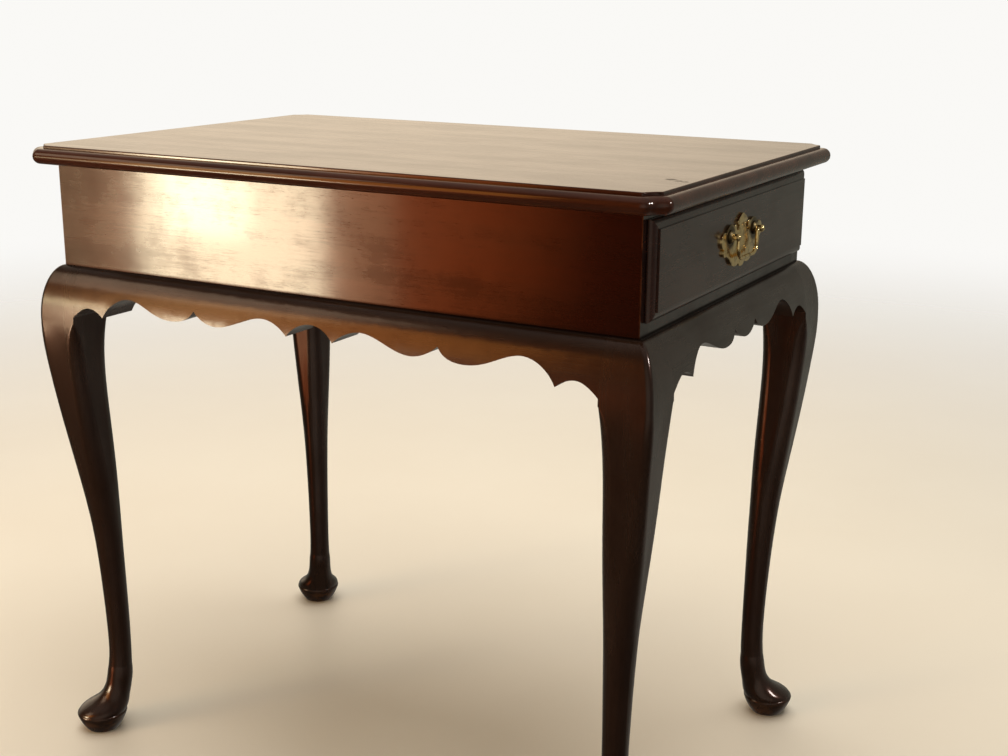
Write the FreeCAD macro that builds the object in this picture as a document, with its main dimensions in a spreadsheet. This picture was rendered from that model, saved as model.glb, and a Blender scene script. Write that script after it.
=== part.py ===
import FreeCAD, Part
import Sketcher
import math
import os

Vector = FreeCAD.Vector

# A small mahogany table with one drawer in its end. X runs along the table towards the
# drawer, Z is up, and the origin is on the floor under the middle of the top.
DIMENSIONS = {
    # top: a slab with a half-round edge and a raised field, notched at its corners
    "top_length": 710.0,
    "top_width": 470.0,
    "top_height": 660.0,
    "slab_thick": 15.5,
    "edge_round": 7.7,
    "field_rise": 3.0,
    "field_inset": 10.4,
    "field_arris": 1.2,
    "notch_radius": 14.75,
    "nose_radius": 8.0,
    "field_nose": 2.5,
    # case
    "case_length": 654.0,
    "case_width": 420.0,
    "case_bottom": 535.5,
    "panel_thick": 19.0,
    "rail_height": 17.5,
    "kicker_height": 15.5,
    "lower_rail_depth": 45.0,
    "top_rail_depth": 35.0,
    "strip_width": 25.0,
    # bulging aprons and knees
    "bulge": 22.0,
    "cut_spare": 4.0,
    "knee_height": 478.0,
    "apron_back": 21.5,
    "low_height": 497.6,
    "cusp_height": 489.4,
    "peak_height": 511.6,
    "centre_height": 512.4,
    "notch_height": 509.4,
    "knee_arch_height": 497.4,
    "arch_end_height": 485.0,
    # cabriole leg: height of each section, then how far its outer and inner faces stand
    # from the case corner, then the rounding of the outer arris and of the other corners
    "knee_inner": -27.0,
    "knee_round": 5.0,
    "knee_soft": 1.5,
    "calf_height": 430.0,
    "calf_outer": 20.0,
    "calf_inner": -26.6,
    "calf_round": 7.0,
    "calf_soft": 12.0,
    "shin_height": 375.0,
    "shin_outer": 14.5,
    "shin_inner": -27.9,
    "shin_round": 10.0,
    "shin_soft": 13.0,
    "waist_height": 310.0,
    "waist_outer": 6.6,
    "waist_inner": -30.5,
    "waist_round": 13.0,
    "waist_soft": 14.5,
    "taper_height": 240.0,
    "taper_outer": -0.9,
    "taper_inner": -31.8,
    "slim_height": 170.0,
    "slim_outer": -5.6,
    "slim_inner": -32.0,
    "ankle_height": 110.0,
    "ankle_outer": -7.6,
    "ankle_inner": -32.2,
    "heel_height": 75.0,
    "heel_outer": -6.2,
    "heel_inner": -32.0,
    "arch_height": 52.0,
    "arch_outer": -2.5,
    "arch_inner": -31.5,
    "instep_height": 40.0,
    "instep_outer": 3.1,
    "instep_inner": -30.4,
    "flare_height": 32.0,
    "flare_outer": 11.9,
    "flare_inner": -30.6,
    "toe_height": 26.0,
    "toe_outer": 20.2,
    "toe_inner": -30.8,
    "pad_top": 20.0,
    "pad_top_outer": 23.8,
    "pad_top_inner": -29.2,
    "pad_centre": -2.8,
    "pad_radius": 27.4,
    "pad_rim": 18.5,
    "pad_crown": 22.0,
    "pad_soft": 2.6,
    "pad_base": 17.5,
    "pad_belly": 23.6,
    # corner blocks behind the knees
    "block_reach": 80.0,
    "block_gap": 0.1,
    "block_bottom": 514.0,
    "block_height": 18.0,
    # drawer
    "lip_width": 404.0,
    "lip_height": 87.6,
    "lip_bottom": 547.2,
    "lip_thick": 6.6,
    "lip_gap": 0.4,
    "thumb_width": 8.3,
    "thumb_depth": 5.5,
    "face_rise": 1.7,
    "face_arris": 0.4,
    "box_length": 565.0,
    "box_width": 379.0,
    "box_height": 71.6,
    "box_bottom": 553.4,
    "box_wall": 10.0,
    "front_board": 12.0,
    "tail_length": 8.5,
    "tail_width": 14.0,
    "tail_flare": 1.6,
    "groove_height": 6.0,
    "groove_depth": 5.0,
    "groove_rise": 5.6,
    "bottom_thick": 5.8,
    "back_height": 52.0,
    # pull
    "pull_height": 597.0,
    "post_spacing": 64.0,
    "post_radius": 2.45,
    "post_tail": 8.0,
    "boss_radius": 6.6,
    "boss_rim": 1.0,
    "boss_height": 3.6,
    "boss_swell": 0.4,
    "neck_radius": 2.9,
    "knob_radius": 3.8,
    "knob_start": 6.2,
    "knob_middle": 8.1,
    "knob_end": 10.6,
    "plate_thick": 2.4,
    "pin_radius": 1.5,
    "pin_stand": 5.7,
    "pin_end": 34.5,
    "bail_radius": 1.9,
    "bail_half_width": 25.4,
    "bail_shoulder": 2.3,
    "bail_drop": 22.0,
    "bail_corner": 11.0,
    "nut_side": 10.0,
    "nut_thick": 4.0,
    "fit": 0.06,
    # wood screws
    "screw_radius": 2.1,
    "screw_tip": 0.85,
    "screw_point": 6.3,
    "screw_head": 4.2,
    "screw_countersink": 2.4,
    "slot_width": 1.3,
    "slot_depth": 1.2,
    "hole_spare": 0.5,
    "top_screw_length": 25.0,
    "top_screw_back": -235.0,
    "top_screw_middle": -10.0,
    "top_screw_front": 210.0,
    "block_screw_length": 52.0,
}

doc = FreeCAD.newDocument("tea_table")
sheet = doc.addObject("Spreadsheet::Sheet", "dims")
for row, (alias, value) in enumerate(DIMENSIONS.items(), 1):
    sheet.set(f"A{row}", alias)
    sheet.set(f"B{row}", str(value))
    sheet.setAlias(f"B{row}", alias)
doc.recompute()


def size(alias):
    """Value of one driving dimension."""
    return float(sheet.get(alias))


def bind(thing, sizes):
    """Ties properties of an object to expressions in the driving dimensions."""
    for name, expression in sizes.items():
        thing.setExpression(name, expression)


def place(thing, x="0", y="0", z="0", turn=0.0):
    """Stands a sub-part at x, y, z, turned about the upright axis."""
    thing.Placement.Rotation = FreeCAD.Rotation(Vector(0, 0, 1), turn)
    bind(thing, {"Placement.Base.x": x, "Placement.Base.y": y, "Placement.Base.z": z})


def new_body(label):
    body = doc.addObject("PartDesign::Body", label)
    body.Label = label
    return body


def new_sketch(body, role, geometry, along="0", across="0"):
    """Sketch on one of the body's planes, moved along its normal and along its first axis."""
    sketch = body.newObject("Sketcher::SketchObject", "outline")
    plane = next(item for item in body.Origin.OriginFeatures if item.Role == role)
    sketch.AttachmentSupport = [(plane, "")]
    sketch.MapMode = "FlatFace"
    bind(sketch, {"AttachmentOffset.Base.z": along, "AttachmentOffset.Base.x": across})
    sketch.addGeometry(geometry, False)
    return sketch


def new_rectangle(body, role, left, bottom, width, height, along="0"):
    """Sketch of a rectangle whose four sizes are tied to the driving dimensions."""
    loop = polygon([(1, 1), (2, 1), (2, 2), (1, 2)])
    sketch = new_sketch(body, role, loop, along)
    for edge in range(4):
        sketch.addConstraint(Sketcher.Constraint("Coincident", edge, 2, (edge + 1) % 4, 1))
        sketch.addConstraint(Sketcher.Constraint(("Horizontal", "Vertical")[edge % 2], edge))
    origin = (-1, 1)
    spans = (
        ("DistanceX", (*origin, 0, 1), left),
        ("DistanceY", (*origin, 0, 1), bottom),
        ("DistanceX", (0, 1, 0, 2), width),
        ("DistanceY", (1, 1, 1, 2), height),
    )
    for kind, points, expression in spans:
        index = sketch.addConstraint(Sketcher.Constraint(kind, *points, 1.0))
        sketch.setExpression(f"Constraints[{index}]", expression)
    return sketch


def new_pad(body, sketch, length, backwards=False):
    pad = body.newObject("PartDesign::Pad", "pad")
    pad.Profile = sketch
    pad.Reversed = backwards
    bind(pad, {"Length": length})
    doc.recompute()
    return pad


def new_pocket(body, sketch, length=None, backwards=False):
    """Cuts a sketch into the body, right through where no length is given."""
    before = body.Shape.Volume
    pocket = body.newObject("PartDesign::Pocket", "pocket")
    pocket.Profile = sketch
    pocket.Reversed = backwards
    if length is None:
        pocket.Type = "ThroughAll"
    else:
        bind(pocket, {"Length": length})
    doc.recompute()
    if body.Shape.Volume >= before:
        raise RuntimeError(f"a pocket of {body.Label} cuts nothing")
    return pocket


def new_fillet(body, radius, wanted):
    """Rounds the edges of the body's last feature that the test picks out."""
    base = body.Tip
    names = [f"Edge{i}" for i, edge in enumerate(base.Shape.Edges, 1) if wanted(edge)]
    fillet = body.newObject("PartDesign::Fillet", "fillet")
    fillet.Base = (base, names)
    bind(fillet, {"Radius": radius})
    doc.recompute()
    return fillet


def polygon(points):
    """Closed loop of straight lines through plane points."""
    corners = [Vector(*point, 0) for point in points]
    return [Part.LineSegment(p, q) for p, q in zip(corners, corners[1:] + corners[:1])]


def line(start, end):
    return Part.LineSegment(Vector(*start, 0), Vector(*end, 0))


def arc(start, middle, end):
    return Part.Arc(Vector(*start, 0), Vector(*middle, 0), Vector(*end, 0))


def spline(points):
    curve = Part.BSplineCurve()
    curve.interpolate([Vector(*point, 0) for point in points])
    return curve


def box(label, length, width, height, x, y, z):
    """Plain squared board."""
    board = doc.addObject("Part::Box", label)
    board.Label = label
    bind(board, {"Length": length, "Width": width, "Height": height})
    place(board, x, y, z)
    return board


def drilled(label, wood, tools):
    """Wood with the clearance holes of its screws."""
    wood.Label = f"{label}_blank"
    tool = doc.addObject("Part::Feature", f"{label}_holes")
    tool.Shape = Part.makeCompound(tools)
    cut = doc.addObject("Part::Cut", label)
    cut.Label = label
    cut.Base = wood
    cut.Tool = tool
    return cut


def group(label, shapes):
    """Identical fasteners kept together as separate solids."""
    fasteners = doc.addObject("Part::Feature", label)
    fasteners.Label = label
    fasteners.Shape = Part.makeCompound(shapes)
    return fasteners


def screw(length, extra=0.0):
    """Countersunk wood screw's outline turned about +Z, with its head's face on the ground plane."""
    shank = size("screw_radius") + extra
    head = size("screw_head") + extra
    tip = size("screw_tip") + extra
    sink = size("screw_countersink")
    point = length - size("screw_point")
    profile = [(0, 0), (head, 0), (shank, sink), (shank, point), (tip, length), (0, length)]
    corners = [Vector(radius, 0, height) for radius, height in profile]
    face = Part.Face(Part.makePolygon(corners + corners[:1]))
    return face.revolve(Vector(0, 0, 0), Vector(0, 0, 1), 360)


def slotted(turned_screw):
    """Screw with a driver slot across its head."""
    reach, width = size("screw_head"), size("slot_width")
    slot = Part.makeBox(2 * reach, width, size("slot_depth"), Vector(-reach, -width / 2, 0))
    return turned_screw.cut(slot)


def set_at(shape, position, direction):
    """Copy of a shape drawn along +Z, turned to a direction and moved to a position."""
    copy = shape.copy()
    copy.Placement = FreeCAD.Placement(position, FreeCAD.Rotation(Vector(0, 0, 1), direction))
    return copy


parts = []
CORNERS = {
    "drawer_far": (1, 1, 0.0),
    "blind_far": (-1, 1, 90.0),
    "blind_near": (-1, -1, 180.0),
    "drawer_near": (1, -1, 270.0),
}


def at_corner(thing, corner):
    """Stands a piece drawn about the far drawer-end corner of the case at any of the four."""
    along, across, turn = CORNERS[corner]
    place(thing, f"dims.case_length / 2 * {along}", f"dims.case_width / 2 * {across}", "0", turn)


# Screws that hold the top: through the kickers, three a side.
kicker_bottom = size("top_height") - size("field_rise") - size("slab_thick") - size("kicker_height")
kicker_middle = size("case_width") / 2 - size("panel_thick") - size("strip_width") / 2
top_screw_places = [
    Vector(x, side * kicker_middle, kicker_bottom)
    for side in (-1, 1)
    for x in (size("top_screw_back"), size("top_screw_middle"), size("top_screw_front"))
]
UP = Vector(0, 0, 1)
top_screw = slotted(screw(size("top_screw_length")))
top_screw_hole = screw(size("top_screw_length") + size("hole_spare"), size("fit"))
top_holes = [set_at(top_screw_hole, spot, UP) for spot in top_screw_places]
parts.append(group("top_screws", [set_at(top_screw, spot, UP) for spot in top_screw_places]))


# Top board: one slab, its edge worked to a half round, with a raised field.
def notched_outline(inset, nose):
    """Rectangle of the top, drawn in by an inset, with a concave bite at each corner."""
    corner_x = size("top_length") / 2
    corner_y = size("top_width") / 2
    bite = size("notch_radius") + inset
    reach = math.sqrt((bite + nose) ** 2 - (inset + nose) ** 2)
    scale = bite / (bite + nose)
    # distances from the outer corner, along an edge and away from it
    straight_end = (reach, inset)
    bite_end = (reach * scale, (inset + nose) * scale)
    half_way = (math.pi / 2 + math.atan2(inset + nose, reach)) / 2
    nose_middle = (reach - nose * math.cos(half_way), inset + nose - nose * math.sin(half_way))
    bite_middle = (bite * math.sqrt(0.5), bite * math.sqrt(0.5))
    edges = []
    for sx, sy in ((1, 1), (-1, 1), (-1, -1), (1, -1)):

        def along_x(point):
            return (sx * (corner_x - point[0]), sy * (corner_y - point[1]))

        def along_y(point):
            return (sx * (corner_x - point[1]), sy * (corner_y - point[0]))

        edges.append(arc(along_x(straight_end), along_x(nose_middle), along_x(bite_end)))
        edges.append(arc(along_x(bite_end), along_x(bite_middle), along_y(bite_end)))
        edges.append(arc(along_y(bite_end), along_y(nose_middle), along_y(straight_end)))
    end_x = corner_x - reach
    end_y = corner_y - reach
    for side in (1, -1):
        edge_y = side * (corner_y - inset)
        edge_x = side * (corner_x - inset)
        edges.append(line((-end_x, edge_y), (end_x, edge_y)))
        edges.append(line((edge_x, -end_y), (edge_x, end_y)))
    return edges


def table_top():
    body = new_body("table_top")
    slab = new_sketch(body, "XY_Plane", notched_outline(0.0, size("nose_radius")))
    new_pad(body, slab, "dims.slab_thick")
    new_fillet(body, "dims.edge_round", lambda edge: edge.BoundBox.ZLength < 0.01)
    field = new_sketch(
        body, "XY_Plane", notched_outline(size("field_inset"), size("field_nose")), "dims.slab_thick"
    )
    new_pad(body, field, "dims.field_rise")
    face_height = size("slab_thick") + size("field_rise")
    new_fillet(body, "dims.field_arris", lambda edge: edge.BoundBox.ZMin > face_height - 0.01)
    place(body, z="dims.top_height - dims.field_rise - dims.slab_thick")
    return drilled("table_top", body, top_holes)


parts.append(table_top())


# Case: four boards and two rails glued into a box, with the strips that guide the drawer.
HALF_LENGTH = "dims.case_length / 2"
INNER_HALF = "(dims.case_width / 2 - dims.panel_thick)"
CASE_TOP = "(dims.top_height - dims.field_rise - dims.slab_thick)"
CASE_HEIGHT = f"{CASE_TOP} - dims.case_bottom"
KICKER_BOTTOM = f"{CASE_TOP} - dims.kicker_height"
STRIP_START = "dims.panel_thick - dims.case_length / 2"


def case_box():
    panel = ("dims.case_length", "dims.panel_thick", CASE_HEIGHT, f"-{HALF_LENGTH}")
    between = f"2 * {INNER_HALF}"
    pieces = [
        box("side_panel_near", *panel, "-dims.case_width / 2", "dims.case_bottom"),
        box("side_panel_far", *panel, INNER_HALF, "dims.case_bottom"),
        box("end_panel", "dims.panel_thick", between, CASE_HEIGHT,
            f"-{HALF_LENGTH}", f"-{INNER_HALF}", "dims.case_bottom"),
        box("front_lower_rail", "dims.lower_rail_depth", between, "dims.rail_height",
            f"{HALF_LENGTH} - dims.lower_rail_depth", f"-{INNER_HALF}", "dims.case_bottom"),
        box("front_top_rail", "dims.top_rail_depth", between, "dims.kicker_height",
            f"{HALF_LENGTH} - dims.top_rail_depth", f"-{INNER_HALF}", KICKER_BOTTOM),
    ]
    runner_length = "dims.case_length - dims.panel_thick - dims.lower_rail_depth"
    kicker_length = "dims.case_length - dims.panel_thick - dims.top_rail_depth"
    for side, start in (("near", f"-{INNER_HALF}"), ("far", f"{INNER_HALF} - dims.strip_width")):
        pieces.append(box(f"drawer_runner_{side}", runner_length, "dims.strip_width",
                          "dims.rail_height", STRIP_START, start, "dims.case_bottom"))
        kicker = box(f"kicker_{side}", kicker_length, "dims.strip_width",
                     "dims.kicker_height", STRIP_START, start, KICKER_BOTTOM)
        sign = -1 if side == "near" else 1
        holes = [hole for hole, spot in zip(top_holes, top_screw_places) if spot.y * sign > 0]
        pieces.append(drilled(f"kicker_{side}", kicker, holes))
    return pieces


parts += case_box()


# Bulging profile that the aprons and the knees share: a quarter ellipse out from the case.
def bulge_curve():
    knee = size("knee_height")
    top = Vector(0, size("case_bottom"), 0)
    ellipse = Part.Ellipse(top, Vector(-size("bulge"), knee, 0), Vector(0, knee, 0))
    return Part.ArcOfEllipse(ellipse, 1.5 * math.pi, 2 * math.pi)


def outside_bulge():
    """What is cut away in front of the bulge, drawn in the plane across a board."""
    knee, front, spare = size("knee_height"), size("bulge"), size("cut_spare")
    lowest = knee - spare
    beyond = front + spare
    over = size("case_bottom") + spare
    return [
        bulge_curve(),
        line((front, knee), (front, lowest)),
        line((front, lowest), (beyond, lowest)),
        line((beyond, lowest), (beyond, over)),
        line((beyond, over), (0, over)),
        line((0, over), (0, size("case_bottom"))),
    ]


# Scalloped lower edges, as half outlines from the middle to the end, cusp to cusp.
def long_scallops():
    low, cusp, peak = size("low_height"), size("cusp_height"), size("peak_height")
    notch, knee_arch, end = size("notch_height"), size("knee_arch_height"), size("arch_end_height")
    return [
        [(26.6, low + 1), (39.0, peak - 4.2), (54.0, peak), (82.0, peak - 6.2), (114.7, low),
         (131.0, low + 5), (140.2, notch)],
        [(140.2, notch), (147.5, low + 4.2), (169.5, low - 0.8), (190.0, low + 3.0),
         (209.0, peak - 3.4), (225.6, peak), (245.0, peak - 6.5), (259.0, cusp)],
        [(259.0, cusp), (268.0, knee_arch - 2.2), (279.0, knee_arch), (291.0, knee_arch - 4.8),
         (size("case_length") / 2 + size("knee_inner"), end)],
    ]


def short_scallops():
    low, cusp, peak = size("low_height"), size("cusp_height"), size("peak_height")
    notch, knee_arch, end = size("notch_height"), size("knee_arch_height"), size("arch_end_height")
    return [
        [(28.0, notch), (35.0, low + 4.2), (54.0, low), (73.0, low + 3.4),
         (92.0, peak - 3.0), (110.0, peak + 1.0), (127.0, peak - 6.5), (139.0, cusp)],
        [(139.0, cusp), (148.0, knee_arch - 2.2), (160.0, knee_arch), (172.0, knee_arch - 4.8),
         (size("case_width") / 2 + size("knee_inner"), end)],
    ]


def apron(label, half_length, scallops, middle_height, x, y, turn):
    """Thick board with a bulging face and a scalloped lower edge, drawn facing +Y."""
    half = half_length + size("knee_inner")
    top = size("case_bottom")
    first = scallops[0][0]
    end = scallops[-1][-1]
    outline = [arc((-first[0], first[1]), (0, middle_height), first)]
    for run in scallops:
        outline.append(spline(run))
        outline.append(spline([(-u, v) for u, v in run]))
    for sign in (-1, 1):
        outline.append(line((sign * end[0], end[1]), (sign * half, top)))
    outline.append(line((-half, top), (half, top)))
    body = new_body(label)
    new_pad(body, new_sketch(body, "XZ_Plane", outline, "-dims.bulge"), "dims.bulge + dims.apron_back")
    new_pocket(body, new_sketch(body, "YZ_Plane", outside_bulge(), f"{half} + dims.cut_spare"))
    place(body, x, y, "0", turn)
    return body


def aprons():
    half_long, half_short = size("case_length") / 2, size("case_width") / 2
    long_edge = (half_long, long_scallops(), size("centre_height"), "0")
    short_edge = (half_short, short_scallops(), size("low_height"))
    return [
        apron("apron_near", *long_edge, "-dims.case_width / 2", 180.0),
        apron("apron_far", *long_edge, "dims.case_width / 2", 0.0),
        apron("apron_drawer_end", *short_edge, "dims.case_length / 2", "0", -90.0),
        apron("apron_blind_end", *short_edge, "-dims.case_length / 2", "0", 90.0),
    ]


parts += aprons()


# Corner blocks: set across the corner behind each knee, with one screw into the leg.
block_face = -(size("block_reach") + size("apron_back")) / 2
block_screw_height = size("block_bottom") + size("block_height") / 2
INTO_LEG = Vector(1, 1, 0)
block_screw_start = Vector(block_face, block_face, block_screw_height)


def turned(shape, corner):
    """Shape drawn about the far drawer-end corner, carried to another corner."""
    along, across, turn = CORNERS[corner]
    corner_place = Vector(along * size("case_length") / 2, across * size("case_width") / 2, 0)
    copy = shape.copy()
    copy.rotate(Vector(0, 0, 0), UP, turn)
    copy.translate(corner_place)
    return copy


block_screw = set_at(slotted(screw(size("block_screw_length"))), block_screw_start, INTO_LEG)
block_hole_length = size("block_screw_length") + size("hole_spare")
block_hole = set_at(screw(block_hole_length, size("fit")), block_screw_start, INTO_LEG)
parts.append(group("block_screws", [turned(block_screw, corner) for corner in CORNERS]))


def corner_block(corner):
    reach, back = -size("block_reach"), -size("apron_back")
    leg_face = size("knee_inner") - size("block_gap")
    outline = [(leg_face, back), (reach, back), (back, reach), (back, leg_face), (leg_face, leg_face)]
    body = new_body(f"corner_block_{corner}")
    new_pad(body, new_sketch(body, "XY_Plane", polygon(outline), "dims.block_bottom"), "dims.block_height")
    at_corner(body, corner)
    return drilled(f"corner_block_{corner}", body, [turned(block_hole, corner)])


parts += [corner_block(corner) for corner in CORNERS]


# Cabriole legs: a square bulging knee that flows down to a round ankle and a pad foot.
def leg_section(outer, inner, arris=None, soft=None):
    """Square with rounded corners as eight runs, or a circle of the same eight runs."""
    middle = (outer + inner) / 2
    half = (outer - inner) / 2
    if arris is None:

        def on_circle(run):
            angle = math.radians(22.5 + 45 * run)
            return (middle + half * math.cos(angle), middle + half * math.sin(angle))

        return [arc(on_circle(k), on_circle(k + 0.5), on_circle(k + 1)) for k in range(8)]
    runs = []
    ends = []
    for k, round_off in enumerate((arris, soft, soft, soft)):
        turn = k * math.pi / 2
        centre_u = half - round_off

        def at(angle):
            u = centre_u + round_off * math.cos(angle)
            v = centre_u + round_off * math.sin(angle)
            return (
                middle + u * math.cos(turn) - v * math.sin(turn),
                middle + u * math.sin(turn) + v * math.cos(turn),
            )

        runs.append(arc(at(0), at(math.pi / 4), at(math.pi / 2)))
        ends.append((at(0), at(math.pi / 2)))
    sides = [line(ends[k][1], ends[(k + 1) % 4][0]) for k in range(4)]
    return [run for pair in zip(runs, sides) for run in pair]


def leg_loft(body, sections):
    """Smooth skin through sections, each given as the name of its height and its sizes."""
    sketches = [
        new_sketch(body, "XY_Plane", leg_section(*sizes), f"dims.{height}") for height, *sizes in sections
    ]
    loft = body.newObject("PartDesign::AdditiveLoft", "loft")
    loft.Profile = sketches[0]
    loft.Sections = sketches[1:]
    loft.Ruled = False
    doc.recompute()
    return loft


def leg(corner):
    label = f"leg_{corner}"
    body = new_body(label)
    knee, top, inner = size("knee_height"), size("case_bottom"), size("knee_inner")
    block = [
        bulge_curve(),
        line((0, top), (inner, top)),
        line((inner, top), (inner, knee)),
        line((inner, knee), (size("bulge"), knee)),
    ]
    new_pad(body, new_sketch(body, "XZ_Plane", block, "-dims.bulge"), "dims.bulge - dims.knee_inner")
    new_pocket(body, new_sketch(body, "YZ_Plane", outside_bulge(), "dims.bulge + dims.cut_spare"))

    def is_arris(edge):
        ends = edge.BoundBox
        tall = ends.ZLength > 0.9 * (top - knee)
        return tall and min(ends.XMax, ends.YMax) > 0.9 * size("bulge")

    new_fillet(body, "dims.knee_round", is_arris)

    def square(name):
        return [size(f"{name}_{key}") for key in ("outer", "inner", "round", "soft")]

    def circle(name):
        return [size(f"{name}_outer"), size(f"{name}_inner")]

    upper = [("knee_height", size("bulge"), inner, size("knee_round"), size("knee_soft"))]
    upper += [(f"{name}_height", *square(name)) for name in ("calf", "shin", "waist")]
    upper += [(f"{name}_height", *circle(name)) for name in ("taper", "slim", "ankle", "heel")]
    lower = [(f"{name}_height", *circle(name)) for name in ("heel", "arch", "instep", "flare", "toe")]
    lower.append(("pad_top", *circle("pad_top")))
    leg_loft(body, upper)
    leg_loft(body, lower)
    rim, rim_height, crown = size("pad_radius"), size("pad_rim"), size("pad_crown")
    base, soft = size("pad_base"), size("pad_soft")
    foot = [
        line((0, 0), (base, 0)),
        arc((base, 0), (size("pad_belly"), rim_height / 2), (rim, rim_height)),
        arc((rim, rim_height), (rim - 0.3 * soft, crown - 0.4 * soft), (rim - soft, crown)),
        line((rim - soft, crown), (0, crown)),
        line((0, crown), (0, 0)),
    ]
    sketch = new_sketch(body, "XZ_Plane", foot, "-dims.pad_centre", "dims.pad_centre")
    pad = body.newObject("PartDesign::Revolution", "pad_foot")
    pad.Profile = sketch
    pad.ReferenceAxis = (sketch, ["V_Axis"])
    pad.Angle = 360.0
    doc.recompute()
    at_corner(body, corner)
    return drilled(label, body, [turned(block_hole, corner)])


parts += [leg(corner) for corner in CORNERS]


# Drawer: lapped dovetails join the sides to a lipped front with a thumbnail edge.
FRONT_FACE = f"({HALF_LENGTH} + dims.lip_gap)"
FRONT_BACK = f"{FRONT_FACE} - dims.front_board"
SIDE_INSET = "(dims.lip_width - dims.box_width) / 2"
BOX_RISE = "(dims.box_bottom - dims.lip_bottom)"


def tails(base_x, base_z):
    """Outlines of the three tails on a drawer side, pointing along +X."""
    pitch = size("box_height") / 3
    half, flare, length = size("tail_width") / 2, size("tail_flare"), size("tail_length")
    outlines = []
    for k in range(3):
        middle = base_z + (k + 0.5) * pitch
        outlines.append([
            (base_x, middle - half),
            (base_x + length, middle - half - flare),
            (base_x + length, middle + half + flare),
            (base_x, middle + half),
        ])
    return outlines


def post_holes(centre_y, height, radius):
    holes = []
    for side in (-1, 1):
        spot = Vector(centre_y + side * size("post_spacing") / 2, height, 0)
        holes.append(Part.Circle(spot, Vector(0, 0, 1), radius))
    return holes


def thumbnail(edge, inward):
    """What is cut away beside one edge of the front: a quarter ellipse and a small step."""
    width, lip, spare = size("thumb_width"), size("lip_thick"), size("cut_spare")
    low = lip - size("thumb_depth")
    beyond = lip + size("face_rise") + spare
    inner = edge + inward * width
    outer = edge - inward * spare
    ellipse = Part.Ellipse(
        Vector(low, edge, 0), Vector(low + inward * size("thumb_depth"), inner, 0), Vector(low, inner, 0)
    )
    quarter = (0, math.pi / 2) if inward > 0 else (1.5 * math.pi, 2 * math.pi)
    corners = [(lip, inner), (beyond, inner), (beyond, outer), (low, outer), (low, edge)]
    return [Part.ArcOfEllipse(ellipse, *quarter)] + [line(p, q) for p, q in zip(corners, corners[1:])]


def drawer_front():
    body = new_body("drawer_front")
    block = new_rectangle(body, "YZ_Plane", "0", "0", "dims.lip_width", "dims.lip_height")
    new_pad(body, block, "dims.lip_thick + dims.face_rise")
    ends = thumbnail(0.0, 1) + thumbnail(size("lip_width"), -1)
    new_pocket(body, new_sketch(body, "XY_Plane", ends, "dims.lip_height + dims.cut_spare"))
    edges = thumbnail(0.0, 1) + thumbnail(size("lip_height"), -1)
    new_pocket(body, new_sketch(body, "XZ_Plane", edges, "dims.cut_spare"))
    face = size("lip_thick") + size("face_rise")
    new_fillet(body, "dims.face_arris", lambda edge: edge.BoundBox.XMin > face - 0.01)
    board = new_rectangle(body, "YZ_Plane", SIDE_INSET, BOX_RISE, "dims.box_width", "dims.box_height")
    new_pad(body, board, "dims.front_board", backwards=True)
    inset = (size("lip_width") - size("box_width")) / 2
    rise = size("box_bottom") - size("lip_bottom")
    sockets = [edge for tail in tails(-size("front_board"), rise) for edge in polygon(tail)]
    near = new_sketch(body, "XZ_Plane", sockets, f"-{SIDE_INSET}")
    new_pocket(body, near, "dims.box_wall")
    far = new_sketch(body, "XZ_Plane", sockets, f"-({SIDE_INSET} + dims.box_width)")
    new_pocket(body, far, "dims.box_wall", backwards=True)
    back, low = -size("front_board"), rise + size("groove_rise")
    deep, high = back + size("groove_depth"), low + size("groove_height")
    groove = polygon([(back, low), (deep, low), (deep, high), (back, high)])
    slot = new_sketch(body, "XZ_Plane", groove, f"-({SIDE_INSET} + dims.groove_depth)")
    new_pocket(body, slot, "dims.box_width - 2 * dims.groove_depth")
    holes = post_holes(inset + size("box_width") / 2, size("pull_height") - size("lip_bottom"),
                       size("post_radius") + size("fit"))
    drill = new_sketch(body, "YZ_Plane", holes, "dims.lip_thick + dims.face_rise + dims.cut_spare")
    new_pocket(body, drill)
    place(body, FRONT_FACE, "-dims.lip_width / 2", "dims.lip_bottom")
    return body


def drawer_side(side):
    """Side board with its tails and the groove for the bottom."""
    body = new_body(f"drawer_side_{side}")
    length, height = size("box_length"), size("box_height")
    edge = [(0.0, 0.0)]
    for tail in tails(0.0, 0.0):
        edge += tail
    edge += [(0.0, height), (-length, height), (-length, 0.0)]
    near = side == "near"
    new_pad(body, new_sketch(body, "XZ_Plane", polygon(edge)), "dims.box_wall", backwards=near)
    low = size("groove_rise")
    high = low + size("groove_height")
    deep = size("groove_depth")
    groove = polygon([(-length, low), (deep, low), (deep, high), (-length, high)])
    inner = "-dims.box_wall" if near else "dims.box_wall"
    new_pocket(body, new_sketch(body, "XZ_Plane", groove, inner), "dims.groove_depth", backwards=near)
    place(body, FRONT_BACK, f"{'-' if near else ''}dims.box_width / 2", "dims.box_bottom")
    return body


def drawer():
    inner_width = "dims.box_width - 2 * dims.box_wall"
    floor = "dims.box_bottom + dims.groove_rise"
    back_x = f"{FRONT_BACK} - dims.box_length"
    slack = "(dims.groove_height - dims.bottom_thick)"
    bottom_length = f"dims.box_length + dims.groove_depth - {slack}"
    bottom_width = f"dims.box_width - 2 * dims.groove_depth - 2 * {slack}"
    return [
        drawer_front(),
        drawer_side("near"),
        drawer_side("far"),
        box("drawer_back", "dims.box_wall", inner_width, "dims.back_height",
            back_x, f"-({inner_width}) / 2", f"{floor} + dims.groove_height"),
        box("drawer_bottom", bottom_length, bottom_width, "dims.bottom_thick",
            back_x, f"-({bottom_width}) / 2", f"{floor} + {slack} / 2"),
    ]


parts += drawer()


# Pull: a cast plate with lobes, two knobbed posts and a swinging bail, all brass.
FACE = f"({FRONT_FACE} + dims.lip_thick + dims.face_rise)"
PLATE_FACE = f"({FACE} + dims.plate_thick)"


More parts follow.
